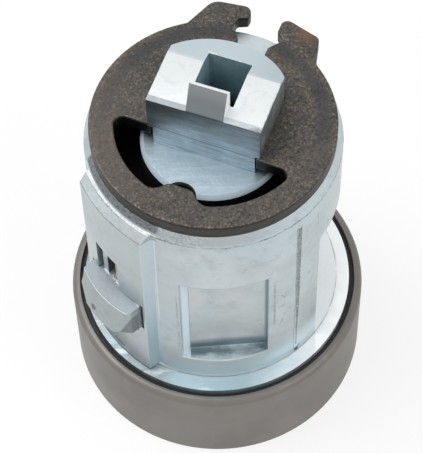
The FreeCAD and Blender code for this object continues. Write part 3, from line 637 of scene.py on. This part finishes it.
def parting_marks(finish, colours, azimuth, z):
    """Fine rough strips on the parting ribs, narrower towards the foot, with painted shade in the pit at the
    foot.
    """
    for middle in (PARTING_AZ, PARTING_AZ + 180):
        half = finish.between(z, FOOT_Z + 2.8, FOOT_Z + 16.8) * 0.95 + 0.4
        ragged = abs(azimuth - middle) + (finish.noise(1.6) - 0.5) * 0.8
        strip = finish.between(ragged, half, half * 0.7)
        strip = strip * finish.within(z, FOOT_Z + 1.8, BARREL_TOP - 3.3, 0.6)
        grain = finish.patches(4.6, 0.38, 0.62, rough=0.6)
        finish.paint(strip * (grain * 0.6 + 0.3), colours.zinc_soot_and_shade, metal=0.6, rough=0.55)
        finish.lift(strip * grain * -0.02)
    # Painted shade in the pit at the foot of the rib
    pit_shade = finish.spot(on_barrel(PARTING_AZ, FOOT_Z + 0.3), 0.6)
    left, right = on_barrel(PARTING_AZ - 3.2, FOOT_Z - 0.3), on_barrel(PARTING_AZ + 3.0, FOOT_Z + 0.9)
    foot_line = finish.stroke(left, right, 0.22)
    finish.paint(finish.between(pit_shade, 0.1, 0.6), colours.zinc_soot_and_shade, metal=0.4)
    finish.paint(foot_line * 0.7, colours.zinc_soot_and_shade)


def scratches(finish, colours):
    """Soft short marks between the pocket and the relief."""
    for low_azimuth, low_z, high_azimuth, high_z, width in SCRATCHES:
        stroke = finish.stroke(on_barrel(low_azimuth, low_z), on_barrel(high_azimuth, high_z), width)
        broken = finish.patches(2.6, 0.34, 0.60, detail=4.0, rough=0.7)
        finish.paint(stroke * broken * 0.6, scaled(colours.zinc_soot_and_shade, 1.8), rough=0.5)


def hollow_shade(finish, colours, radius, azimuth, z):
    """Painted shade in the latch's room in the boss and in the cavity in the barrel's end."""
    room = finish.between(finish.along(LATCH_AZ), BARREL_R + 0.25, BARREL_R - 0.45)
    room = room * finish.within(azimuth, ROOM_LEFT_AZ, ROOM_RIGHT_AZ, 0.3)
    room = room * finish.within(z, ROOM_LOW, ROOM_HIGH, 0.1)
    room = room * finish.between(radius, BARREL_R - 0.05, BARREL_R - 0.25)
    cavity = finish.between(radius, CAVITY_R + 0.08, CAVITY_R + 0.02)
    finish.paint(room.most(cavity), colours.pit_shade, metal=0.0, rough=0.7)


def latch_finish(colours):
    """Zinc of the latch, duller and rougher, with painted shade on its right end and by the finger's side, a
    painted highlight along its upper edge and a brown nick.
    """
    finish = zinc_finish("cast_zinc_latch", colours)
    outward, side, z = finish.along(LATCH_AZ), finish.along(LATCH_AZ + 90), finish.z
    rough_skin = finish.patches(1.5, 0.42, 0.62, detail=5.0, rough=0.7)
    outside = finish.between(outward, BARREL_R + 0.55, BARREL_R + 0.95)
    finish.paint(outside * 0.6, scaled(colours.zinc_grey_and_shade, 0.9), metal=0.7, rough=0.5)
    # Painted shade on the right end of the latch
    leaning_side = side - (z - LATCH_LOW) * SHADED_END_LEAN
    right_end = finish.between(leaning_side, SHADED_END, SHADED_END + 0.2) * outside
    finish.paint(right_end * 0.8, scaled(colours.zinc_grey_and_shade, 0.45), rough=0.55)
    top = finish.between(z, LATCH_EDGE - 0.13, LATCH_EDGE) * outside
    finish.paint(top * 0.75, scaled(colours.zinc_blue, 0.95), metal=0.5, rough=0.7)
    finish.paint(top * 0.45, scaled(colours.zinc_grey_and_shade, 0.9))
    finish.paint(rough_skin * outside * 0.3, scaled(colours.zinc_grey_and_shade, 0.8))
    # Painted highlight along the upper edge, broken by the rough skin
    edge = finish.band(z, LATCH_EDGE, 0.3)
    edge = edge * finish.between(outward, LATCH_STANDS_OUT + 0.5, LATCH_STANDS_OUT + 0.9)
    finish.paint(edge * (0.95 - rough_skin * 0.3), scaled(colours.zinc_pale_and_lit, 1.1), rough=0.4)
    # Painted shade by the side of the finger, above the latch
    finger_side = finish.between(side, FINGER_RIGHT - 0.08, FINGER_RIGHT - 0.02)
    finger_side = finger_side * finish.between(z, LATCH_HIGH + 0.1, LATCH_HIGH + 0.3)
    finish.paint(finger_side * 0.9, colours.pit_shade, metal=0.0, rough=0.7)
    finish.lift(rough_skin * 0.012)
    turn = math.radians(NICK_AZ)
    nick = finish.spot((NICK_R * math.cos(turn), NICK_R * math.sin(turn), NICK_Z), 0.75)
    finish.paint(finish.between(nick, 0.15, 0.5) * 0.85, colours.nick, metal=0.4)
    return finish.done()


def head_finish(colours):
    """Zinc of the turning core: painted light on the top, a painted sheen on the slope greyer to its right, a
    brushed front, painted shade in the socket and sides darker towards the plate.
    """
    finish = zinc_finish("cast_zinc_head", colours)
    across, rearward, z = finish.along(HEAD_TURN), finish.along(HEAD_TURN + 90), finish.z
    # Painted light on the top of the head
    top = finish.within(z, HEAD_TOP - 0.1, HEAD_TOP + 0.04, 0.06)
    finish.paint(top * 0.85, colours.zinc_pale_and_lit)
    finish.paint(top * finish.patches(0.6, 0.50, 0.66, detail=5.0, rough=0.7) * 0.15, colours.zinc_cool)
    # Painted sheen on the rear slope, greyer towards its right
    slope = finish.between(rearward, HEAD_SLOPE_START, HEAD_SLOPE_START + 0.1)
    slope = slope * finish.between(z, HEAD_TOP - 2.5, HEAD_TOP - 2.2)
    finish.paint(slope * 0.8, scaled(colours.zinc_sheen, 0.85))
    finish.paint(slope * finish.between(across, 1.0, 7.0) * 0.35, colours.zinc_grey_and_shade)
    brushed_front(finish, colours, across, rearward, z)
    scored_disc(finish, colours, rearward, z)
    ejector_rings(finish, colours)
    head_chips(finish, colours, across, rearward, z)
    tooth_marks(finish, colours, rearward, z)
    head_side(finish, colours, across, z)
    socket_walls(finish, colours, across, rearward, z)
    return finish.done()


def above_disc(finish):
    """1 on the head, over the end of the plug."""
    return finish.between(finish.z, DISC_TOP + 0.02, DISC_TOP + 0.1)


def brushed_front(finish, colours, across, rearward, z):
    """Brush lines across the front face of the head, painted shade lines along its creases and painted shade
    under its upper left edge.
    """
    front = finish.between(rearward, HEAD_FRONT + 0.9, HEAD_FRONT + 0.75)
    front = front * finish.between(z, HEAD_TOP + 0.1, HEAD_TOP - 0.1) * above_disc(finish)
    front = front * finish.between(abs(across), HEAD_HALF + 0.1, HEAD_HALF - 0.05)
    lines = finish.noise(1.5, detail=5.0, rough=0.7, stretch=(0.16, 0.16, 1.6))
    blotches = finish.patches(0.35, 0.40, 0.62, detail=5.0, rough=0.6)
    shade = finish.between(z, HEAD_TOP - 3.4, HEAD_TOP - 0.6) * finish.between(across, 10.0, -7.0)
    finish.paint(front * 0.8, scaled(colours.zinc_blue, 1.6))
    finish.paint(front * finish.between(lines, 0.42, 0.60) * 0.5, scaled(colours.zinc_grey_and_shade, 0.8))
    finish.paint(front * blotches * 0.3, scaled(colours.zinc_blue, 0.65))
    # Painted shade under the upper left edge of the front
    finish.paint(front * shade * 0.75, scaled(colours.zinc_blue, 0.28))
    finish.lift(front * lines * 0.02)
    # Painted shade lines along the creases
    slanted = z + across * 0.05
    for height, width, strength in FRONT_CREASES:
        crease = front * finish.band(slanted, height, width)
        finish.paint(crease * strength, scaled(colours.zinc_blue, 0.25))


def scored_disc(finish, colours, rearward, z):
    """Scored blue-grey end of the plug under the head, darker towards the head, with a painted highlight on
    its chamfered rim.
    """
    disc = finish.within(z, DISC_TOP - 0.03, DISC_TOP + 0.05, 0.03)
    scores = finish.noise(1.2, detail=5.0, rough=0.7, stretch=(0.25, 1.5, 1.0))
    finish.paint(disc * 0.85, scaled(colours.zinc_blue, 1.25), rough=0.42)
    finish.paint(disc * finish.between(scores, 0.42, 0.62) * 0.4, colours.zinc_sheen)
    near_head = finish.between(rearward, -PLUG_R + 0.6, HEAD_FRONT - 1.1)
    finish.paint(disc * near_head * 0.35, scaled(colours.zinc_blue, 0.85))
    finish.lift(disc * scores * 0.015)
    # Painted highlight on the chamfered rim of the disc
    rim = finish.within(z, DISC_TOP - DISC_CHAMFER, DISC_TOP - 0.03, 0.02)
    rim = rim * finish.between(finish.radius(), PLUG_R - DISC_CHAMFER - 0.2, PLUG_R - DISC_CHAMFER)
    finish.paint(rim, scaled(colours.zinc_blue, 1.7), metal=0.15, rough=0.6)


def ejector_rings(finish, colours):
    """Faint wandering rings that the ejector pins left on the top of the head."""
    turn = math.radians(HEAD_TURN)
    for side, ahead in EJECTOR_PLACES:
        x = side * math.cos(turn) - ahead * math.sin(turn)
        y = side * math.sin(turn) + ahead * math.cos(turn)
        wander = (finish.noise(0.7) - 0.5) * 1.4
        ring = finish.band(finish.away((x, y, HEAD_TOP)) + wander, EJECTOR_R, 0.5)
        finish.paint(ring * finish.patches(0.8, 0.40, 0.62) * 0.2, scaled(colours.zinc_cool, 0.9))


def head_chips(finish, colours, across, rearward, z):
    """Worn front edge of the head, chipped at its right corner, and the burr behind the socket."""
    near_top = finish.between(abs(z - HEAD_TOP), 0.35, 0.1)
    edge = finish.within(rearward, HEAD_FRONT - 0.1, HEAD_FRONT + 0.03, 0.04) * near_top
    finish.paint(edge * 0.7, scaled(colours.zinc_soot_and_shade, 1.2))
    corner = finish.between(rearward, HEAD_FRONT + 1.1, HEAD_FRONT + 0.1)
    corner = corner * finish.between(across, HEAD_HALF - 2.7, HEAD_HALF + 0.1) * near_top
    chips = corner * finish.patches(1.9, 0.44, 0.56, detail=5.0, rough=0.8)
    finish.paint(chips * 0.85, scaled(colours.zinc_soot_and_shade, 1.1), rough=0.6)
    finish.lift(chips * -0.05)
    burr = finish.within(rearward, SOCKET_REAR - 0.1, SOCKET_REAR + 0.35, 0.1)
    burr = burr * finish.within(across, SOCKET_LEFT - 0.1, SOCKET_RIGHT + 0.1, 0.2)
    burr = burr * finish.patches(1.8, 0.50, 0.60, detail=4.0, rough=0.7)
    finish.paint(burr * 0.9, colours.zinc_pale_and_lit)
    finish.lift(burr * 0.06)


def tooth_marks(finish, colours, rearward, z):
    """Duller flat front of the tooth painted darker grey, lighter towards its foot, with painted light on its
    land and right side.
    """
    height = z - HEAD_TOP
    tooth = finish.between(height, 0.05, 0.15)
    leaning_front = height * (TOOTH_LEAN / TOOTH_HEIGHT) + HEAD_FRONT
    behind = finish.between(rearward - leaning_front, 0.02, 0.12)
    front = tooth * (1.0 - behind)
    # Painted shade on the flat front of the tooth, lighter towards its foot
    finish.paint(front, scaled(colours.zinc_grey_and_shade, 0.75), metal=0.55, rough=0.5)
    finish.paint(front * finish.between(height, 2.2, 0.0) * 0.35, colours.zinc_sheen)
    # Painted light on the land and the right side of the tooth
    finish.paint(tooth * behind, scaled(colours.zinc_pale_and_lit, 1.1), metal=0.6, rough=0.5)


def head_side(finish, colours, across, z):
    """Worn right side of the head, darker towards the plate."""
    flank = finish.between(across, HEAD_HALF - 0.2, HEAD_HALF - 0.05) * above_disc(finish)
    worn = finish.patches(0.7, 0.38, 0.60, detail=5.0, rough=0.65, stretch=(1.0, 1.0, 0.35))
    low = finish.between(z, HEAD_TOP - 3.0, HEAD_TOP - 6.0)
    finish.paint(flank * worn * 0.55, scaled(colours.zinc_grey_and_shade, 0.5))
    finish.paint(flank * low * 0.7, scaled(colours.zinc_grey_and_shade, 0.25))


def socket_walls(finish, colours, across, rearward, z):
    """Blue-green walls of the drive socket, with painted shade at its bottom and below the disc."""
    inside = finish.within(across, SOCKET_LEFT - 0.02, SOCKET_RIGHT + 0.02, 0.03)
    inside = inside * finish.within(rearward, SOCKET_FRONT - 0.02, SOCKET_REAR + 0.02, 0.03)
    inside = inside * finish.between(z, HEAD_TOP - 0.05, HEAD_TOP - 0.3)
    runs = finish.patches(0.9, 0.48, 0.68, detail=5.0, rough=0.65, stretch=(1.0, 1.0, 0.10))
    finish.paint(inside, colours.socket, metal=0.35, rough=0.45)
    finish.paint(inside * runs * 0.6, scaled(colours.zinc_cool, 0.9))
    # Painted shade at the bottom of the socket and below the disc
    finish.paint(inside * finish.between(z, HEAD_TOP - 7.0, HEAD_TOP - 11.0), colours.pit_shade)
    under = finish.between(z, DISC_TOP - DISC_CHAMFER, DISC_TOP - DISC_CHAMFER - 0.1)
    finish.paint(under * (1.0 - inside), colours.pit_shade, metal=0.0, rough=0.7)


def plate_finish(colours):
    """Phosphated spring steel: warm mottles, specks near the rims, a rust stain and sheared sides with
    painted shade.
    """
    finish = Finish("phosphated_steel", colours.plate, metal=0.6, rough=0.46)
    radius, z = finish.radius(), finish.z
    mottles = finish.patches(0.24, 0.42, 0.60, detail=5.0, rough=0.65)
    fine = finish.noise(2.9, detail=4.0, rough=0.8)
    pale_specks, dark_specks = finish.between(fine, 0.52, 0.66), finish.between(fine, 0.48, 0.36)
    front, left = finish.between(finish.y, 2.0, -9.0), finish.between(finish.x, -8.0, -14.0)
    outer_rim = finish.between(radius, EDGE_R - 1.25, EDGE_R - 0.15)
    inner_rim = finish.between(radius, OPENING_R + 1.1, OPENING_R + 0.1)
    worn = outer_rim.most(inner_rim * 0.9).most(front * 0.7)
    finish.paint(mottles * (worn * 0.7 + 0.3), colours.plate_warm)
    finish.paint(worn * 0.45, colours.plate_warm)
    finish.paint(pale_specks * (worn * 0.5 + 0.12), colours.plate_worn, rough=0.36)
    finish.paint(dark_specks * 0.8, scaled(colours.plate, 0.25))
    finish.paint(left * (pale_specks * 0.3 + 0.3), scaled(colours.plate_worn, 0.6))
    edge = finish.between(z, PLATE_HIGH - 0.1, PLATE_HIGH) * finish.band(radius, EDGE_R, 0.3)
    finish.paint(edge * pale_specks * 0.5, scaled(colours.plate_worn, 1.2))
    stain = finish.spot(RUST_PLACE, RUST_REACH) * finish.patches(0.8, 0.33, 0.55, detail=4.0)
    finish.paint(stain * 0.95, colours.rust)
    plate_sides(finish, colours, radius, z)
    finish.lift(fine * 0.03 + mottles * 0.01)
    return finish.done()


def plate_sides(finish, colours, radius, z):
    """Sheared sides of the plate: a painted shade line under its rounded upper edge and painted shade on its
    inner side.
    """
    outer_side = finish.between(radius, EDGE_R - 0.15, EDGE_R + 0.05)
    line = outer_side * finish.within(z, PLATE_HIGH - 0.48, PLATE_HIGH - 0.2, 0.06)
    below = outer_side * finish.between(z, PLATE_HIGH - 0.5, PLATE_HIGH - 0.6)
    inner_side = finish.between(radius, OPENING_R + 0.8, OPENING_R + 0.4)
    inner_side = inner_side * finish.between(z, PLATE_HIGH - 0.25, PLATE_HIGH - 0.45)
    # Painted shade line under the rounded upper edge
    finish.paint(line, scaled(colours.plate, 0.05))
    finish.paint(below * 0.85, scaled(colours.plate_warm, 0.4))
    # Painted shade on the inner side, facing the gap round the plug
    finish.paint(inner_side, scaled(colours.plate, 0.15))


def trim_finish(colours):
    """Warm grey satin lacquer with soft clouds and a few specks of dust."""
    finish = Finish("satin_lacquer", colours.trim, metal=0.35, rough=0.42)
    clouds = finish.patches(0.09, 0.35, 0.7)
    streaks = finish.patches(0.35, 0.50, 0.70, detail=4.0, rough=0.6, stretch=(1.0, 1.0, 0.3))
    dust = finish.patches(2.8, 0.70, 0.80, detail=2.0)
    finish.paint(clouds, scaled(colours.trim, 0.88), rough=0.48)
    finish.paint(streaks * 0.3, scaled(colours.trim, 1.15))
    finish.paint(dust * 0.3, scaled(colours.trim, 0.5))
    finish.lift(finish.noise(6.0, detail=2.0) * 0.006)
    return finish.done()


def plain_finish(name, colour, metal, rough, worn=0.2):
    """A small part's finish: a slight change of tone and a fine grain."""
    finish = Finish(name, colour, metal, rough)
    tone = finish.patches(SMALL_GRAIN_PER_MM * 0.2, 0.35, 0.7, detail=4.0)
    finish.paint(tone, scaled(colour, 1.0 - worn), rough=rough + 0.1)
    finish.lift(finish.noise(SMALL_GRAIN_PER_MM) * SMALL_GRAIN)
    return finish.done()


class LOCK_OT_housing(bpy.types.Operator):
    """Dress the die-cast barrel"""

    bl_idname = "lock.housing"
    bl_label = "Housing"

    def execute(self, context):
        sizes, colours = chosen_values(context)
        work = worked_copy("housing", sizes.cast_round, sizes.round_steps)
        finished("cast_barrel", work, "housing", "zinc", barrel_finish(colours), "housing")
        return {"FINISHED"}


class LOCK_OT_trim(bpy.types.Operator):
    """Dress the trim ring and its dark liner"""

    bl_idname = "lock.trim"
    bl_label = "Trim ring"

    def execute(self, context):
        sizes, colours = chosen_values(context)
        work = worked_copy("trim_ring", sizes.cast_round, sizes.round_steps)
        finished("satin_trim", work, "housing", "trim", trim_finish(colours), "trim_ring")
        liner = worked_copy("liner_ring", sizes.fine_round, sizes.round_steps)
        finished("dark_liner", liner, "housing", "liner",
                 plain_finish("liner_black", colours.liner, 0.0, 0.5, worn=0.1), "liner_ring")
        return {"FINISHED"}


class LOCK_OT_plug(bpy.types.Operator):
    """Dress the turning core with its drive head"""

    bl_idname = "lock.plug"
    bl_label = "Plug"

    def execute(self, context):
        sizes, colours = chosen_values(context)
        work = worked_copy("plug", sizes.head_round, sizes.fine_steps)
        finished("cast_plug", work, "rotor", "zinc", head_finish(colours), "plug")
        return {"FINISHED"}


class LOCK_OT_plate(bpy.types.Operator):
    """Dress the retaining plate"""

    bl_idname = "lock.plate"
    bl_label = "Retaining plate"

    def execute(self, context):
        sizes, colours = chosen_values(context)
        work = worked_copy("retaining_plate", sizes.plate_round, sizes.round_steps)
        finished("stamped_plate", work, "rotor", "plate", plate_finish(colours), "retaining_plate")
        return {"FINISHED"}


class LOCK_OT_latch(bpy.types.Operator):
    """Dress the latch and its spring strip"""

    bl_idname = "lock.latch"
    bl_label = "Latch"

    def execute(self, context):
        sizes, colours = chosen_values(context)
        work = worked_copy("latch", sizes.cast_round, sizes.round_steps, square_left_end)
        finished("cast_latch", work, "latch", "zinc", latch_finish(colours), "latch")
        strip = worked_copy("latch_spring", sizes.fine_round, sizes.fine_steps)
        finished("spring_strip", strip, "housing", "spring_strip",
                 plain_finish("tempered_strip", colours.strip, 0.4, 0.4), "latch_spring")
        return {"FINISHED"}


class LOCK_OT_key_face(bpy.types.Operator):
    """Dress the cap of the key face, the shutter, its pin and its spring"""

    bl_idname = "lock.key_face"
    bl_label = "Key face"

    def execute(self, context):
        sizes, colours = chosen_values(context)
        bright = plain_finish("bright_steel", colours.steel, 1.0, 0.28)
        # Painted shade: the shutter's steel is painted darker than the cap's so that the slot round it shows
        # dark
        dull_shaded = plain_finish("dull_shaded_steel", scaled(colours.steel, 0.3), 0.9, 0.45)
        cap = worked_copy("face_cap", sizes.fine_round, sizes.fine_steps)
        finished("dressed_face_cap", cap, "rotor", "cap", bright, "face_cap")
        shutter = worked_copy("shutter", sizes.fine_round, sizes.fine_steps)
        finished("dressed_shutter", shutter, "shutter", "steel", dull_shaded, "shutter")
        for node in ("shutter_pin", "shutter_spring"):
            repaint(node, bright)
        return {"FINISHED"}


class LOCK_OT_tumblers(bpy.types.Operator):
    """Give the wafers and their springs their metals"""

    bl_idname = "lock.tumblers"
    bl_label = "Tumblers"

    def execute(self, context):
        colours = context.scene.lock_colours
        brass = plain_finish("stamped_brass", colours.brass, 1.0, 0.3)
        wire = plain_finish("spring_wire", colours.steel, 1.0, 0.25)
        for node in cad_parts:
            if node.startswith("wafer_spring_"):
                repaint(node, wire)
            elif node.startswith("wafer_"):
                repaint(node, brass)
        return {"FINISHED"}


def repaint(node, material):
    """Another finish on a part that keeps its own mesh."""
    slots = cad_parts[node].data.materials
    slots.clear()
    slots.append(material)


class LOCK_OT_stage(bpy.types.Operator):
    """Make the pale floor, the soft lights and the camera"""

    bl_idname = "lock.stage"
    bl_label = "Stage"

    def execute(self, context):
        sizes, colours = chosen_values(context)
        floor(sizes.floor_half, colours.floor)
        sky()
        for name, place, size, strength in LIGHTS:
            soft_box(name, place, size, strength)
        camera()
        return {"FINISHED"}


def seen_directly(finish):
    """1 for what the camera sees, straight or in metal and glass."""
    rays = ("Is Camera Ray", "Is Glossy Ray", "Is Transmission Ray")
    seen = finish.node("ShaderNodeLightPath", {}, {}, rays[0])
    for ray in rays[1:]:
        seen = seen.most(finish.node("ShaderNodeLightPath", {}, {}, ray))
    return seen


def floor(half, colour):
    """A pale floor that shows near white and keeps a faint shadow. Seen from below it is clear."""
    work = bmesh.new()
    bmesh.ops.create_grid(work, x_segments=1, y_segments=1, size=half)
    mesh = bpy.data.meshes.new("floor")
    work.to_mesh(mesh)
    work.free()
    plane = added("floor", mesh)
    finish = Finish("pale_floor")
    finish.set(Base_Color=rgb(colour), Roughness=0.9, Specular_IOR_Level=0.1)
    glow = finish.node("ShaderNodeEmission", {}, {"Color": (1.0, 1.0, 1.0, 1.0), "Strength": 1.0})
    lit = Socket(finish, finish.shader.outputs[0])
    glowing = seen_directly(finish) * FLOOR_GLOW
    mixed = finish.node("ShaderNodeMixShader", {}, {0: glowing, 1: lit, 2: glow})
    from_below = finish.node("ShaderNodeNewGeometry", {}, {}, "Backfacing")
    clear = finish.node("ShaderNodeBsdfTransparent", {}, {})
    one_sided = finish.node("ShaderNodeMixShader", {}, {0: from_below, 1: mixed, 2: clear})
    surface = finish.tree.nodes["Material Output"].inputs["Surface"]
    finish.tree.links.new(one_sided.link, surface)
    mesh.materials.append(finish.material)


class Sky(Finish):
    """The world's shader, built with the same node method."""

    def __init__(self, world):
        self.tree = world.node_tree
        self.shader = self.tree.nodes["Background"]


def sky():
    """A plain pale surround, white where it is seen."""
    world = bpy.data.worlds.new("studio")
    bpy.context.scene.world = world
    world.use_nodes = True
    finish = Sky(world)
    seen = seen_directly(finish)
    finish.set(Color=(1.0, 1.0, 1.0, 1.0), Strength=SKY_LIGHT + seen * (1.0 - SKY_LIGHT))


def soft_box(name, place, size, strength):
    """A square area light aimed at the part. Its power grows with its area, so strength sets its glow."""
    lamp = bpy.data.lights.new(name, "AREA")
    lamp.size = size
    lamp.energy = strength * math.pi * size * size * 4
    light = added(name, lamp)
    light.location = place
    aim = Vector((0, 0, OVERALL_TOP * MM / 2)) - Vector(place)
    light.rotation_mode = "QUATERNION"
    light.rotation_quaternion = aim.to_track_quat("-Z", "Y")


def camera():
    """The camera at the photograph's place and angle."""
    right = Vector((1, 0, 0))
    up = Vector((0, math.sin(CAMERA_ELEVATION), math.cos(CAMERA_ELEVATION)))
    back = Vector((0, -math.cos(CAMERA_ELEVATION), math.sin(CAMERA_ELEVATION)))
    across = right * math.cos(CAMERA_ROLL) + up * math.sin(CAMERA_ROLL)
    above = up * math.cos(CAMERA_ROLL) - right * math.sin(CAMERA_ROLL)
    lens = bpy.data.cameras.new("photo_camera")
    lens.lens = CAMERA_LENS
    lens.sensor_width = SENSOR
    lens.clip_start = 0.01
    lens.clip_end = 20.0
    view = added("photo_camera", lens)
    turn = Matrix((across, above, back)).transposed().to_4x4()
    view.matrix_world = Matrix.Translation(CAMERA_PLACE) @ turn
    bpy.context.scene.camera = view


class LOCK_PT_panel(bpy.types.Panel):
    """Lists the pieces of the lock"""

    bl_idname = "LOCK_PT_panel"
    bl_label = "Ignition lock cylinder"
    bl_space_type = "VIEW_3D"
    bl_region_type = "UI"
    bl_category = "Lock"

    def draw(self, context):
        for operator in OPERATORS:
            self.layout.operator(operator.bl_idname)
        for group in chosen_values(context):
            for name in group.__annotations__:
                self.layout.prop(group, name)


OPERATORS = (LOCK_OT_housing, LOCK_OT_trim, LOCK_OT_plug, LOCK_OT_plate, LOCK_OT_latch, LOCK_OT_key_face,
             LOCK_OT_tumblers, LOCK_OT_stage)
CLASSES = (LockSizes, LockColours) + OPERATORS + (LOCK_PT_panel,)


def register():
    for item in CLASSES:
        bpy.utils.register_class(item)
    bpy.types.Scene.lock_sizes = PointerProperty(type=LockSizes)
    bpy.types.Scene.lock_colours = PointerProperty(type=LockColours)


def unregister():
    del bpy.types.Scene.lock_colours
    del bpy.types.Scene.lock_sizes
    for item in reversed(CLASSES):
        bpy.utils.unregister_class(item)


def main():
    register()
    bpy.context.scene.view_settings.view_transform = "Standard"
    for operator in OPERATORS:
        family, name = operator.bl_idname.split(".")
        getattr(getattr(bpy.ops, family), name)()


if __name__ == "__main__":
    main()
